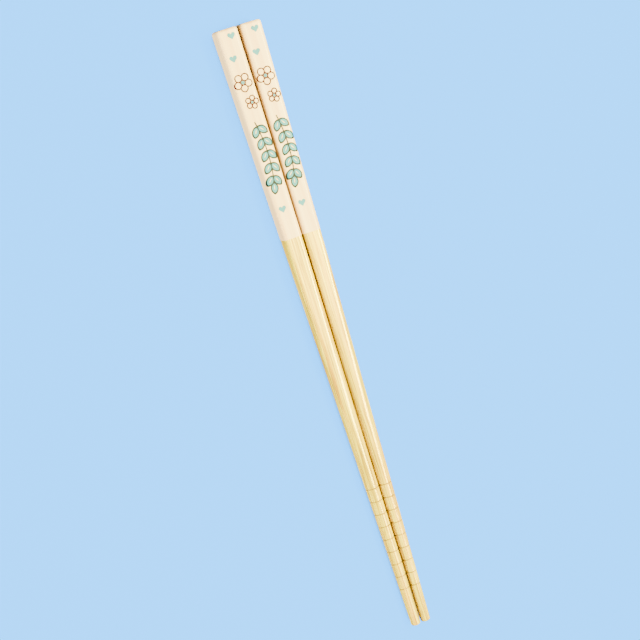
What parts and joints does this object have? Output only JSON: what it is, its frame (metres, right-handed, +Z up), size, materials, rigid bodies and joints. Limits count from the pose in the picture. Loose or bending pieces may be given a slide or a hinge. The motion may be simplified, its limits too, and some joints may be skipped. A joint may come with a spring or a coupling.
{
  "type": "pair of bamboo chopsticks",
  "caption": "Bamboo chopsticks lying side by side, slim and tapered, with squared handles under a cream printed film and round grooved tips for picking up food.",
  "frame": {"origin": "middle of the pair's box, on the surface that the pair lies on", "axes": "+Y along the sticks towards the handles, +Z up, +X from the left stick to the right one"},
  "size_m": [0.0164, 0.2252, 0.0078],
  "materials": {
    "bamboo": "straight fine grain under a clear satin lacquer",
    "printed_film": "thin cream transfer film, satin",
    "mint_ink": "printed ink",
    "green_line_ink": "printed ink line",
    "brown_line_ink": "printed ink line"
  },
  "bodies": {
    "root": {"chopstick_left": "bamboo", "print_film_left": "printed_film", "mint_ink_left": "mint_ink", "green_line_ink_left": "green_line_ink", "brown_line_ink_left": "brown_line_ink", "chopstick_right": "bamboo", "print_film_right": "printed_film", "mint_ink_right": "mint_ink", "green_line_ink_right": "green_line_ink", "brown_line_ink_right": "brown_line_ink"}
  },
  "joints": []
}
